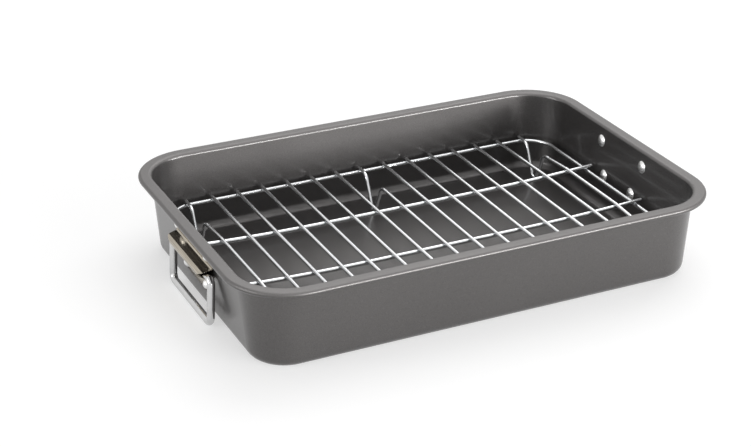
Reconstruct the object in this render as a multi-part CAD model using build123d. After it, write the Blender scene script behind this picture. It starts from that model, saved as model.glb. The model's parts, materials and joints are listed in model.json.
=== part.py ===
from build123d import *
import math
import os

# A roasting pan with a lift-out wire rack and two drop handles.
# The origin is the middle of the pan's flat base, on the table. +X runs along the long side, +Z is up.
# All sizes are millimetres and all angles degrees. A wire's height is that of its centre line.
# Each end of the pan is built at the right, +X, and mirrored to the left.

# Pan, measured over the rolled rim
rim_length = 407.0
rim_width = 279.4
pan_height = 69.6
rim_corner_radius = 49.7
rim_overhang = 10.4
wall_draft = 5.2
base_corner_radius = 29.0
base_edge_radius = 7.9
pan_sheet = 0.8

# Rolled rim
rim_bend_radius = 2.2
rim_roll_diameter = 4.7
rim_roll_turn = 285.0
rim_stub = 1.5

# Handle bracket: one folded plate with a channel across it, heights measured up the wall
bracket_sheet = 1.2
bracket_rim_gap = 4.1
upper_flange = 14.4
lower_flange = 13.7
bracket_half_width = 39.7
channel_half_length = 38.2
channel_nose_half_length = 29.5
bracket_foot_half_width = 28.3
bracket_top_corner = 5.0
bracket_shoulder_corner = 2.0
bracket_foot_corner = 6.5
channel_depth = 11.2
channel_nose_radius = 3.6
channel_shelf_fall = 9.4
channel_slope_rise = 39.0
channel_root_radius = 1.5

# Rivets, placed from where the channel leaves the plate
upper_rivet_rise = 7.5
upper_rivet_spacing = 62.6
lower_rivet_drop = 6.5
lower_rivet_spacing = 42.2
rivet_radius = 2.4
rivet_hole_gap = 0.05
inner_head_radius = 5.25
inner_head_height = 1.9
outer_head_radius = 4.1
outer_head_height = 3.4

# Bail, a closed loop of rod that hangs in the channel and leans a little outward
bail_rod = 6.2
bail_top_radius = 6.0
bail_bottom_radius = 5.7
bail_wall_gap = 0.8
bail_seat_gap = 0.4
bail_end_gap = 0.5
bail_table_gap = 1.25
bail_lean = 3.0

# Rack, welded from drawn wire. It lies loose, a little off the pan's middle.
frame_wire = 3.2
stringer_wire = 3.6
cross_wire = 3.0
weld_bite = 0.35
rack_end_gap = 8.2
rack_side_gap = 3.0
rack_corner_radius = 25.0
rack_clear_height = 27.6
rack_floor_gap = 0.3
rack_shift_x = 2.4
rack_shift_y = -1.8
stringer_spacing = 78.2
stringer_overhang = 4.9
stringer_flat_share = 0.4
cross_overhang = 1.8
cross_end_space = 20.1
cross_wire_count = 15
leg_inset = 28.3
leg_slope = 64.5
leg_shoulder_radius = 8.0
leg_foot_radius = 4.0

# One overrun serves every cut
overrun = 5.0

# Pan sizes that follow
draft = math.radians(wall_draft)
wall_inset = pan_sheet / math.cos(draft)
rim_bend_height = pan_height - pan_sheet - rim_bend_radius
rim_foot_height = rim_bend_height - rim_stub
top_corner_radius = rim_corner_radius - rim_overhang
base_half_length = rim_length / 2 - rim_overhang - rim_foot_height * math.tan(draft)
base_half_width = rim_width / 2 - rim_overhang - rim_foot_height * math.tan(draft)

# Bracket heights that follow, up the wall. The channel leaves the plate's face at its two roots.
shelf_fall = math.radians(channel_shelf_fall)
slope_rise = math.radians(channel_slope_rise)
nose_out = channel_depth - channel_nose_radius
nose_reach = nose_out - bracket_sheet
bracket_top = rim_bend_height / math.cos(draft) - bracket_rim_gap
high_root = bracket_top - upper_flange
shelf_drop = nose_reach * math.tan(shelf_fall) + channel_nose_radius / math.cos(shelf_fall)
slope_drop = nose_reach * math.tan(slope_rise) + channel_nose_radius / math.cos(slope_rise)
nose_height = high_root - shelf_drop
low_root = nose_height - slope_drop
bracket_bottom = low_root - lower_flange
upper_rivet_height = high_root + upper_rivet_rise
lower_rivet_height = low_root - lower_rivet_drop


def wall_half_length(height):
    """Half the length over the outside of the end walls at a height."""
    return base_half_length + height * math.tan(draft)


def wall_half_width(height):
    """Half the width over the outside of the side walls at a height."""
    return base_half_width + height * math.tan(draft)


def wall_corner(height):
    """Radius of the corner of the outside wall at a height."""
    return base_corner_radius + (top_corner_radius - base_corner_radius) * height / rim_foot_height


def polar(centre, radius, angle):
    """Point at a radius and an angle from a centre, in a flat drawing."""
    turn = math.radians(angle)
    return Vector(centre.X + radius * math.cos(turn), centre.Y + radius * math.sin(turn))


def arc(centre, radius, start, end):
    """Arc about a centre from a start angle to an end angle, in a flat drawing."""
    middle = (start + end) / 2
    return ThreePointArc(
        polar(centre, radius, start), polar(centre, radius, middle), polar(centre, radius, end)
    )


def wall_section(height, inset):
    """Rounded rectangle of the outside wall at a height, drawn in by an inset."""
    outline = RectangleRounded(
        2 * (wall_half_length(height) - inset),
        2 * (wall_half_width(height) - inset),
        wall_corner(height) - inset,
    )
    return Plane.XY.offset(height) * outline


def tapered_block(foot_height, inset, edge_radius):
    """Solid between a foot height and the rim's foot, with its lower edges rounded."""
    sections = [wall_section(foot_height, inset), wall_section(rim_foot_height, inset)]
    block = loft(sections, ruled=True)
    return fillet(block.faces().sort_by(Axis.Z)[0].edges(), edge_radius)


def rim_profile():
    """Section of the rim at the right end: a stub of wall, the bend, the flange and the hollow roll."""
    foot_outside = Vector(wall_half_length(rim_foot_height), rim_foot_height)
    foot_inside = Vector(foot_outside.X - wall_inset, rim_foot_height)
    outer_bend_radius = rim_bend_radius + pan_sheet
    bend_x = wall_half_length(rim_bend_height) + rim_bend_radius / math.cos(draft)
    bend_centre = Vector(bend_x, rim_bend_height)
    bend_start = 180 - wall_draft
    roll_radius = rim_roll_diameter / 2
    roll_bore = roll_radius - pan_sheet
    roll_centre = Vector(rim_length / 2 - roll_radius, pan_height - roll_radius)
    roll_end = 90 - rim_roll_turn
    under_bend = arc(bend_centre, rim_bend_radius, bend_start, 90)
    over_bend = arc(bend_centre, outer_bend_radius, 90, bend_start)
    under_roll = arc(roll_centre, roll_bore, 90, roll_end)
    over_roll = arc(roll_centre, roll_radius, roll_end, 90)
    outline = [
        Line(foot_outside, under_bend @ 0),
        under_bend,
        Line(under_bend @ 1, under_roll @ 0),
        under_roll,
        Line(under_roll @ 1, over_roll @ 0),
        over_roll,
        Line(over_roll @ 1, over_bend @ 0),
        over_bend,
        Line(over_bend @ 1, foot_inside),
        Line(foot_inside, foot_outside),
    ]
    return Plane.XZ * make_face(outline)


def rim():
    """Rim swept round the top of the wall: four straight lengths and four turned corners."""
    profile = rim_profile()
    side = wall_half_width(rim_foot_height) - top_corner_radius
    end = wall_half_length(rim_foot_height) - top_corner_radius
    right_length = extrude(profile, amount=side, dir=(0, 1, 0))
    corner_profile = Pos(0, side, 0) * profile
    corner_axis = Axis((end, side, 0), (0, 0, 1))
    corner = revolve(corner_profile, corner_axis, 90)
    rear_profile = corner_profile.rotate(corner_axis, 90)
    rear_length = extrude(rear_profile, amount=end, dir=(-1, 0, 0))
    quarter = right_length + corner + rear_length
    rear_half = quarter + quarter.mirror(Plane.YZ)
    return rear_half + rear_half.mirror(Plane.XZ)


# The outside of the right end wall: X runs along the wall, Y up it and Z outward
end_wall = Plane(
    origin=(base_half_length, 0, 0),
    x_dir=(0, 1, 0),
    z_dir=(math.cos(draft), 0, -math.sin(draft)),
)
# The upright section through the middle of that wall: X runs outward and Y up the wall
wall_cut = Plane(
    origin=(base_half_length, 0, 0),
    x_dir=(math.cos(draft), 0, -math.sin(draft)),
    z_dir=(0, -1, 0),
)


def rivet_places():
    """Places of a bracket's four rivets on the end wall, as pairs of distance along and height."""
    places = []
    for side in (-1, 1):
        places.append((side * upper_rivet_spacing / 2, upper_rivet_height))
        places.append((side * lower_rivet_spacing / 2, lower_rivet_height))
    return places


def rivet_holes():
    """Bores for one bracket's rivets, through the plate and the wall."""
    radius = rivet_radius + rivet_hole_gap
    bore = Cylinder(radius, 2 * overrun)
    return [end_wall * Pos(along, height, 0) * bore for along, height in rivet_places()]


def make_pan_shell():
    """Deep-drawn pan with its rolled rim and eight rivet holes."""
    outside = tapered_block(0, 0, base_edge_radius)
    inside = tapered_block(pan_sheet, wall_inset, base_edge_radius - pan_sheet)
    shell = outside - inside + rim()
    for hole in rivet_holes():
        shell = shell - hole - hole.mirror(Plane.YZ)
    return shell


def channel_outline(nose_radius):
    """Section of the bracket's channel over the end wall, with a nose of a radius."""
    nose = Vector(nose_out, nose_height)
    nose_arc = arc(nose, nose_radius, 90 - channel_shelf_fall, channel_slope_rise - 90)
    shelf_end = nose_arc @ 0
    slope_end = nose_arc @ 1
    shelf_root = Vector(0, shelf_end.Y + shelf_end.X * math.tan(shelf_fall))
    slope_root = Vector(0, slope_end.Y - slope_end.X * math.tan(slope_rise))
    return make_face([
        Line(shelf_root, shelf_end),
        nose_arc,
        Line(slope_end, slope_root),
        Line(slope_root, shelf_root),
    ])


def bracket_section():
    """Upright section of the folded bracket plate on the end wall."""
    plate_height = bracket_top - bracket_bottom
    plate_middle = (bracket_top + bracket_bottom) / 2
    plate = Pos(bracket_sheet / 2, plate_middle) * Rectangle(bracket_sheet, plate_height)
    channel = channel_outline(channel_nose_radius)
    hollow = channel_outline(channel_nose_radius - bracket_sheet)
    section = plate + channel - hollow
    hollow_box = hollow.bounding_box()
    inner_roots = [Vector(bracket_sheet, low_root), Vector(bracket_sheet, high_root)]
    outer_roots = [Vector(0, hollow_box.min.Y), Vector(0, hollow_box.max.Y)]
    for point in inner_roots:
        corner = section.vertices().sort_by_distance(point)[0]
        section = fillet(corner, channel_root_radius)
    for point in outer_roots:
        corner = section.vertices().sort_by_distance(point)[0]
        section = fillet(corner, channel_root_radius + bracket_sheet)
    return section


def bracket_front():
    """Outline of the bracket seen square to the wall: wide flange and shelf, narrower nose and foot."""
    step_height = high_root + channel_root_radius
    right_side = [
        (bracket_foot_half_width, bracket_bottom),
        (channel_nose_half_length, nose_height),
        (channel_half_length, nose_height + channel_nose_radius),
        (channel_half_length, step_height),
        (bracket_half_width, step_height),
        (bracket_half_width, bracket_top),
    ]
    left_side = [(-along, height) for along, height in reversed(right_side)]
    outline = make_face(Polyline(*right_side, *left_side, close=True))
    feet = outline.vertices().group_by(Axis.Y)[0]
    outline = fillet(feet, bracket_foot_corner)
    shoulders = outline.vertices().filter_by_position(Axis.Y, low_root, high_root)
    outline = fillet(shoulders, bracket_shoulder_corner)
    heads = outline.vertices().group_by(Axis.Y)[-1]
    return fillet(heads, bracket_top_corner)


def make_bracket():
    """Folded plate on the right end wall, with its channel, rounded corners and rivet holes."""
    folded = extrude(wall_cut * bracket_section(), amount=bracket_half_width, both=True)
    stamp = extrude(end_wall * bracket_front(), amount=channel_depth + overrun, both=True)
    bracket = folded & stamp
    for hole in rivet_holes():
        bracket = bracket - hole
    return bracket


def dome(radius, height):
    """Arc of a rivet head's dome, from its edge to its crown."""
    sphere = (radius ** 2 + height ** 2) / (2 * height)
    centre = Vector(0, height - sphere)
    edge_angle = math.degrees(math.atan2(-centre.Y, radius))
    return arc(centre, sphere, edge_angle, 90)


def make_rivet():
    """Rivet along Z, its shank through wall and plate, its outer head above and inner head below."""
    outer = Pos(0, bracket_sheet) * dome(outer_head_radius, outer_head_height)
    inner = Pos(0, -pan_sheet) * dome(inner_head_radius, inner_head_height).mirror(Plane.XZ)
    shank_top = Vector(rivet_radius, bracket_sheet)
    shank_foot = Vector(rivet_radius, -pan_sheet)
    outline = [
        Line(inner @ 1, outer @ 1),
        outer,
        Line(outer @ 0, shank_top),
        Line(shank_top, shank_foot),
        Line(shank_foot, inner @ 0),
        inner,
    ]
    return revolve(Plane.XZ * make_face(outline), Axis.Z)


def make_rivets():
    """One bracket's four rivets."""
    rivet = make_rivet()
    return [end_wall * Pos(along, height, 0) * rivet for along, height in rivet_places()]


def bail_bar_place():
    """Where the bail's top bar lies in the channel, as x and z of its axis."""
    out = bail_rod / 2 + bail_wall_gap
    hollow_radius = channel_nose_radius - bracket_sheet
    lift = (out - nose_out) * math.sin(slope_rise) - hollow_radius + bail_rod / 2 + bail_seat_gap
    up = nose_height + lift / math.cos(slope_rise)
    bar = wall_cut.from_local_coords(Vector(out, up, 0))
    return bar.X, bar.Z


def make_bail():
    """Closed rectangular loop of rod that hangs from the right channel and leans outward."""
    x, top = bail_bar_place()
    lean = math.radians(bail_lean)
    drop = top - bail_table_gap - bail_rod / 2
    foot_x = x + drop * math.tan(lean)
    foot = top - drop
    half = channel_half_length + bail_end_gap + bail_rod / 2
    corners = [(x, half, top), (foot_x, half, foot), (foot_x, -half, foot), (x, -half, top)]
    radii = [bail_top_radius, bail_bottom_radius, bail_bottom_radius, bail_top_radius]
    loop = FilletPolyline(*corners, radius=radii, close=True)
    return sweep_round(loop, bail_rod)


def sweep_round(path, diameter):
    """Round rod along a path."""
    start = Plane(origin=path @ 0, z_dir=path % 0)
    return sweep(start * Circle(diameter / 2), path=path)


# Rack sizes that follow, about the rack's own middle
rack_half_length = wall_half_length(rack_clear_height) - wall_inset - rack_end_gap - frame_wire / 2
rack_half_width = wall_half_width(rack_clear_height) - wall_inset - rack_side_gap - frame_wire / 2
stringer_clear_height = rack_clear_height + (frame_wire - stringer_wire) / 2
stringer_rise = stringer_wire - weld_bite
stringer_flat = stringer_flat_share * rack_half_length
stringer_run = rack_half_length - stringer_flat
stringer_bow_radius = (stringer_run ** 2 + stringer_rise ** 2) / (2 * stringer_rise)
side_crossing = rack_clear_height + (frame_wire + cross_wire) / 2 - weld_bite
cross_tip = rack_half_width + cross_overhang
cross_pitch = 2 * (rack_half_length - cross_end_space) / (cross_wire_count - 1)
leg_foot_height = pan_sheet + rack_floor_gap + cross_wire / 2
rack_place = Pos(rack_shift_x, rack_shift_y, 0)


def stringer_height(x):
    """Height of the stringers at a distance from the rack's middle: flat, then curving up."""
    past = max(0, abs(x) - stringer_flat)
    rise = stringer_bow_radius - math.sqrt(stringer_bow_radius ** 2 - past ** 2)
    return stringer_clear_height + rise


def cross_height(x):
    """Height of a cross wire where it lies on the stringers."""
    return stringer_height(x) + (stringer_wire + cross_wire) / 2 - weld_bite


def make_rack_frame():
    """Closed rectangular wire under the ends and sides of the rack."""
    corners = []
    for sx, sy in ((1, 1), (-1, 1), (-1, -1), (1, -1)):
        corners.append((sx * rack_half_length, sy * rack_half_width, rack_clear_height))
    loop = FilletPolyline(*corners, radius=rack_corner_radius, close=True)
    return rack_place * sweep_round(loop, frame_wire)


def make_stringer(side):
    """Lengthwise wire that lies under the cross wires and curves up over the end wires."""
    y = side * stringer_spacing / 2
    tip = rack_half_length + stringer_overhang
    tip_height = stringer_height(tip)
    middle = Line((-stringer_flat, y, stringer_clear_height), (stringer_flat, y, stringer_clear_height))
    right = TangentArc(middle @ 1, (tip, y, tip_height), tangent=(1, 0, 0))
    left = TangentArc(middle @ 0, (-tip, y, tip_height), tangent=(-1, 0, 0))
    return rack_place * sweep_round(Wire([left, middle, right]), stringer_wire)


def wire_station(x, y, height):
    """Upright circle across a cross wire at a point."""
    return Plane(origin=(x, y, height), z_dir=(0, 1, 0)) * Circle(cross_wire / 2)


def make_cross_wire(x):
    """Cross wire that lies on both sides of the frame and on both stringers."""
    over_stringer = stringer_spacing / 2
    return rack_place * loft(
        [
            wire_station(x, -cross_tip, side_crossing),
            wire_station(x, -over_stringer, cross_height(x)),
            wire_station(x, over_stringer, cross_height(x)),
            wire_station(x, cross_tip, side_crossing),
        ],
        ruled=True,
    )


def make_leg_wire(x):
    """Cross wire with a V foot bent into each end."""
    foot = rack_half_width - leg_inset
    half_point = math.radians(90 - leg_slope)
    corner_height = leg_foot_height - leg_foot_radius * (1 / math.sin(half_point) - 1)
    half_spread = (side_crossing - corner_height) * math.tan(half_point)
    inner_end = foot - half_spread - leg_shoulder_radius
    points = [
        (x, cross_tip, side_crossing),
        (x, foot + half_spread, side_crossing),
        (x, foot, corner_height),
        (x, foot - half_spread, side_crossing),
        (x, inner_end, side_crossing),
    ]
    radii = [leg_shoulder_radius, leg_foot_radius, leg_shoulder_radius]
    rear_leg = sweep_round(FilletPolyline(*points, radius=radii), cross_wire)
    over_stringer = stringer_spacing / 2
    middle = loft(
        [
            wire_station(x, -inner_end, side_crossing),
            wire_station(x, -over_stringer, cross_height(x)),
            wire_station(x, over_stringer, cross_height(x)),
            wire_station(x, inner_end, side_crossing),
        ],
        ruled=True,
    )
    return rack_place * (rear_leg + middle + rear_leg.mirror(Plane.XZ))


def both_ends(name, shape):
    """A piece of the right end and its mirror image at the left, named for their ends."""
    return {f"right_{name}": shape, f"left_{name}": mirror(shape, about=Plane.YZ)}


def rack_wires():
    """The rack's cross wires by name. Those at both ends and in the middle carry the legs."""
    last = cross_wire_count - 1
    legs = {0: "left", last // 2: "middle", last: "right"}
    wires = {}
    for index in range(cross_wire_count):
        x = (index - last / 2) * cross_pitch
        if index in legs:
            wires[f"rack_leg_wire_{legs[index]}"] = make_leg_wire(x)
        else:
            number = index - sum(leg < index for leg in legs) + 1
            wires[f"rack_cross_wire_{number:02d}"] = make_cross_wire(x)
    return wires


nodes = {"pan_shell": make_pan_shell()}
nodes.update(both_ends("bracket", make_bracket()))
nodes.update(both_ends("bracket_rivets", Compound(children=make_rivets())))
nodes.update(both_ends("bail", make_bail()))
nodes["rack_frame"] = make_rack_frame()
nodes["rack_stringer_rear"] = make_stringer(1)
nodes["rack_stringer_front"] = make_stringer(-1)
nodes.update(rack_wires())

os.makedirs("parts", exist_ok=True)
for name, shape in nodes.items():
    export_step(shape, f"parts/{name}.step")

bar_x, bar_z = bail_bar_place()
print("bail hinge x and z", round(bar_x, 3), round(bar_z, 3))
print("rack half length and width", round(rack_half_length, 3), round(rack_half_width, 3))
print("cross wire pitch", round(cross_pitch, 3), "side crossing", round(side_crossing, 3))
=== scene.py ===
import json
import math

import bpy
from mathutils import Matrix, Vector


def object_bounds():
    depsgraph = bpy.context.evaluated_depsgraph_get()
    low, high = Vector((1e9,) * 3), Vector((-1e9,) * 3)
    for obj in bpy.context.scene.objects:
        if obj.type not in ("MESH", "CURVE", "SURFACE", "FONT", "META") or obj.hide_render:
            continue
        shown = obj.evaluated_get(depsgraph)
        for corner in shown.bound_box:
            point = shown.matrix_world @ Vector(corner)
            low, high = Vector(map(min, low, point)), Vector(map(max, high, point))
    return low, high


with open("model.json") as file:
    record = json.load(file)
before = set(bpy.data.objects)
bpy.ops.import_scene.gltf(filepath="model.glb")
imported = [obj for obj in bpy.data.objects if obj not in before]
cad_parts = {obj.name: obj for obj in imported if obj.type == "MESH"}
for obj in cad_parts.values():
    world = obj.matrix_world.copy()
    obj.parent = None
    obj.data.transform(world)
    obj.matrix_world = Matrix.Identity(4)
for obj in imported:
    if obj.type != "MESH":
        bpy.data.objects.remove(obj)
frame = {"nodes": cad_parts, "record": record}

cad_box = [list(corner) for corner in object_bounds()]
scene = bpy.context.scene
scene.view_settings.view_transform = "Standard"

# Camera, worked out from the rim, the base and the rivets in the photograph:
# its place in metres, its angles in degrees and its lens in millimetres
camera_place = (-0.59017, -1.15904, 0.65649)
camera_azimuth = -25.434
camera_elevation = 25.737
camera_lens = 85.21

# Light that the room sends to the object, by the sine of the elevation that it comes from:
# most from a wide band between the floor and overhead
room_levels = [
    (0.00, 0.05),
    (0.10, 0.06),
    (0.20, 0.45),
    (0.36, 0.75),
    (0.58, 0.75),
    (0.68, 0.12),
    (1.00, 0.12),
]

# Floor: half of its side, and the distances between which its glow rises, in metres
floor_half_side = 4.0
floor_colour = (0.52, 0.52, 0.52, 1)
glow_distances = (0.5, 1.5)
glow_levels = (0.53, 0.95)

# Heights in metres at which the rim's lighter colour, thinner coat and extra roughness begin, and
# are full; the lighter colour is a painted sheen for the light that the open rim reflects
pan_top = cad_box[1][2]
rim_heights = (pan_top - 0.0024, pan_top - 0.0012)

# Range that holds nearly all of a noise's values
noise_range = (0.3, 0.7)

# Middle of the pan's base and a point above it, to which the lamps are turned, in metres
base_middle = (0, 0, 0)
pan_middle = (0, 0, 0.05)


def feed(tree, socket, value):
    """Links a node's output to a socket, or sets the socket to a constant."""
    if isinstance(value, bpy.types.NodeSocket):
        tree.links.new(value, socket)
    else:
        socket.default_value = value


def calculate(tree, operation, *values):
    """Output of a Math node, from its inputs in order."""
    node = tree.nodes.new("ShaderNodeMath")
    node.operation = operation
    for socket, value in zip(node.inputs, values):
        feed(tree, socket, value)
    return node.outputs["Value"]


def map_range(tree, value, source, target):
    """A value taken from one range to another, and held at its ends."""
    node = tree.nodes.new("ShaderNodeMapRange")
    node.inputs["From Min"].default_value, node.inputs["From Max"].default_value = source
    node.inputs["To Min"].default_value, node.inputs["To Max"].default_value = target
    feed(tree, node.inputs["Value"], value)
    return node.outputs["Result"]


def mix_colours(tree, value, first, second):
    """Colour between two, by a value from 0 to 1."""
    node = tree.nodes.new("ShaderNodeMix")
    node.data_type = "RGBA"
    feed(tree, node.inputs["Factor"], value)
    feed(tree, node.inputs["A"], first)
    feed(tree, node.inputs["B"], second)
    return node.outputs["Result"]


def height_of(tree, vector):
    """The Z part of a place or a direction."""
    split = tree.nodes.new("ShaderNodeSeparateXYZ")
    feed(tree, split.inputs["Vector"], vector)
    return split.outputs["Z"]


def seen_directly(tree):
    """Value of 1 for rays from the camera, and for those that metal or glass shows."""
    path = tree.nodes.new("ShaderNodeLightPath").outputs
    by_eye_or_metal = calculate(tree, "MAXIMUM", path["Is Camera Ray"], path["Is Glossy Ray"])
    return calculate(tree, "MAXIMUM", by_eye_or_metal, path["Is Transmission Ray"])


def add_camera():
    """Camera at the photograph's angle, with a level horizon."""
    data = bpy.data.cameras.new("camera")
    data.lens = camera_lens
    camera = bpy.data.objects.new("camera", data)
    camera.location = camera_place
    camera.rotation_euler = (math.radians(90 - camera_elevation), 0, math.radians(camera_azimuth))
    scene.collection.objects.link(camera)
    scene.camera = camera


def add_world():
    """White backdrop for the camera, metal and glass, and a dimmer room for all other light."""
    world = bpy.data.worlds.new("studio")
    scene.world = world
    world.use_nodes = True
    tree = world.node_tree
    tree.nodes.clear()
    direction = tree.nodes.new("ShaderNodeTexCoord").outputs["Generated"]
    levels = tree.nodes.new("ShaderNodeValToRGB")
    stops = levels.color_ramp.elements
    while len(stops) < len(room_levels):
        stops.new(0.5)
    for stop, (position, level) in zip(stops, room_levels):
        stop.position = position
        stop.color = (level, level, level, 1)
    feed(tree, levels.inputs["Fac"], height_of(tree, direction))
    room = tree.nodes.new("ShaderNodeBackground")
    feed(tree, room.inputs["Color"], levels.outputs["Color"])
    backdrop = tree.nodes.new("ShaderNodeBackground")
    backdrop.inputs["Color"].default_value = (1, 1, 1, 1)
    for background in (room, backdrop):
        background.inputs["Strength"].default_value = 1.0
    mix = tree.nodes.new("ShaderNodeMixShader")
    feed(tree, mix.inputs["Fac"], seen_directly(tree))
    feed(tree, mix.inputs[1], room.outputs["Background"])
    feed(tree, mix.inputs[2], backdrop.outputs["Background"])
    output = tree.nodes.new("ShaderNodeOutputWorld")
    feed(tree, output.inputs["Surface"], mix.outputs["Shader"])


def add_lamp(name, place, target, size, power):
    """Rectangular soft lamp at a place, turned to a target, in metres and watts."""
    data = bpy.data.lights.new(name, "AREA")
    data.shape = "RECTANGLE"
    data.size, data.size_y = size
    data.energy = power
    lamp = bpy.data.objects.new(name, data)
    lamp.location = place
    away = Vector(place) - Vector(target)
    lamp.rotation_euler = away.to_track_quat("Z", "Y").to_euler()
    scene.collection.objects.link(lamp)


def floor_material():
    """Pale paint that keeps the shadow, with a glow that is strongest far from the object."""
    material = bpy.data.materials.new("floor")
    material.use_nodes = True
    tree = material.node_tree
    tree.nodes.clear()
    distance = tree.nodes.new("ShaderNodeVectorMath")
    distance.operation = "LENGTH"
    place = tree.nodes.new("ShaderNodeTexCoord").outputs["Object"]
    feed(tree, distance.inputs[0], place)
    level = map_range(tree, distance.outputs["Value"], glow_distances, glow_levels)
    glow = tree.nodes.new("ShaderNodeEmission")
    strength = calculate(tree, "MULTIPLY", seen_directly(tree), level)
    feed(tree, glow.inputs["Strength"], strength)
    paint = tree.nodes.new("ShaderNodeBsdfDiffuse")
    paint.inputs["Color"].default_value = floor_colour
    both = tree.nodes.new("ShaderNodeAddShader")
    feed(tree, both.inputs[0], paint.outputs["BSDF"])
    feed(tree, both.inputs[1], glow.outputs["Emission"])
    output = tree.nodes.new("ShaderNodeOutputMaterial")
    feed(tree, output.inputs["Surface"], both.outputs["Shader"])
    return material


def add_floor():
    """Plain pale floor under the object."""
    low, high = -floor_half_side, floor_half_side
    corners = [(low, low, 0), (high, low, 0), (high, high, 0), (low, high, 0)]
    mesh = bpy.data.meshes.new("floor")
    mesh.from_pydata(corners, [], [(0, 1, 2, 3)])
    mesh.materials.append(floor_material())
    floor = bpy.data.objects.new("floor", mesh)
    scene.collection.objects.link(floor)


def new_material(name):
    """Material with its node tree, its shader and the coordinates of the object in metres."""
    material = bpy.data.materials.new(name)
    material.use_nodes = True
    tree = material.node_tree
    place = tree.nodes.new("ShaderNodeTexCoord").outputs["Object"]
    return material, tree, tree.nodes["Principled BSDF"], place


def noise(tree, place, grains_per_metre, detail):
    """Noise of a grain size over the object."""
    node = tree.nodes.new("ShaderNodeTexNoise")
    node.inputs["Scale"].default_value = grains_per_metre
    node.inputs["Detail"].default_value = detail
    feed(tree, node.inputs["Vector"], place)
    return node.outputs["Fac"]


def add_bump(tree, shader, value, distance, strength):
    """Fine relief from a value, with its distance in metres."""
    node = tree.nodes.new("ShaderNodeBump")
    node.inputs["Distance"].default_value = distance
    node.inputs["Strength"].default_value = strength
    feed(tree, node.inputs["Height"], value)
    feed(tree, shader.inputs["Normal"], node.outputs["Normal"])


def non_stick_coat():
    """Dark grey non-stick coating with a fine metallic grain; the rim is painted lighter as a
    painted sheen, under a thinner, rougher coat.
    """
    material, tree, shader, place = new_material("non_stick_coat")
    grain = noise(tree, place, grains_per_metre=2200, detail=4.0)
    patches = noise(tree, place, grains_per_metre=14, detail=2.0)
    speckle = map_range(tree, grain, noise_range, (0.0, 1.0))
    body = mix_colours(tree, speckle, (0.066, 0.063, 0.062, 1), (0.116, 0.110, 0.108, 1))
    # Lighter rim colour: a painted sheen standing in for the light that the flat rim reflects
    rim = mix_colours(tree, speckle, (0.112, 0.107, 0.105, 1), (0.152, 0.146, 0.144, 1))
    on_rim = map_range(tree, height_of(tree, place), rim_heights, (0.0, 1.0))
    feed(tree, shader.inputs["Base Color"], mix_colours(tree, on_rim, body, rim))
    gloss = map_range(tree, on_rim, (0.0, 1.0), (0.45, 0.04))
    feed(tree, shader.inputs["Coat Weight"], gloss)
    extra_on_rim = 0.12
    body_roughness = map_range(tree, patches, noise_range, (0.34, 0.39))
    roughness = calculate(tree, "MULTIPLY_ADD", on_rim, extra_on_rim, body_roughness)
    feed(tree, shader.inputs["Roughness"], roughness)
    shader.inputs["Metallic"].default_value = 0.75
    shader.inputs["Coat Roughness"].default_value = 0.12
    add_bump(tree, shader, grain, distance=0.00003, strength=0.2)
    return material


def bright_metal(name, colour, roughness, grains_per_metre, stretch=1.0, dullest=0.93):
    """Bright metal with a faint unevenness, drawn out along Y by a stretch."""
    material, tree, shader, place = new_material(name)
    drawn = tree.nodes.new("ShaderNodeVectorMath")
    drawn.operation = "MULTIPLY"
    drawn.inputs[1].default_value = (1, 1 / stretch, 1)
    feed(tree, drawn.inputs[0], place)
    fine = noise(tree, drawn.outputs["Vector"], grains_per_metre, detail=3.0)
    speckle = map_range(tree, fine, noise_range, (0.0, 1.0))
    dull = [dullest * part for part in colour]
    feed(tree, shader.inputs["Base Color"], mix_colours(tree, speckle, (*dull, 1), (*colour, 1)))
    smoothest, roughest = 0.95 * roughness, 1.06 * roughness
    uneven = map_range(tree, fine, noise_range, (smoothest, roughest))
    feed(tree, shader.inputs["Roughness"], uneven)
    shader.inputs["Metallic"].default_value = 1.0
    add_bump(tree, shader, fine, distance=0.00001, strength=0.03)
    return material


def dress_nodes():
    """Gives each CAD node the material of its slot."""
    plate = bright_metal(
        "bracket_plate", (0.52, 0.47, 0.39), 0.15, grains_per_metre=700, stretch=25, dullest=0.6
    )
    rivets = bright_metal("rivet_heads", (0.80, 0.80, 0.79), 0.30, grains_per_metre=500)
    rod = bright_metal("bail_rod", (0.60, 0.60, 0.60), 0.09, grains_per_metre=200)
    wire = bright_metal("rack_wire", (0.70, 0.71, 0.72), 0.24, grains_per_metre=500)
    materials = {
        "non_stick_pan": non_stick_coat(),
        "bracket_plate": plate,
        "rivets": rivets,
        "bail_rod": rod,
        "rack_wire": wire,
    }
    for part in frame["record"]["subparts"]:
        node = frame["nodes"][part["node"]]
        node.data.materials.clear()
        node.data.materials.append(materials[part["material_slot"]])


add_camera()
add_world()
add_floor()
add_lamp("rear", (0.68, 0.68, 1.28), base_middle, size=(1.6, 1.2), power=13)
add_lamp("overhead", (-0.1, -0.1, 1.6), base_middle, size=(1.2, 1.0), power=5)
add_lamp("front_right", (0.84, -1.77, 0.26), pan_middle, size=(1.6, 0.22), power=48)
add_lamp("front", (-0.1, -1.93, 0.52), pan_middle, size=(1.2, 0.45), power=2)
add_lamp("left", (-1.93, 0.0, 0.52), pan_middle, size=(1.2, 0.45), power=12)
dress_nodes()
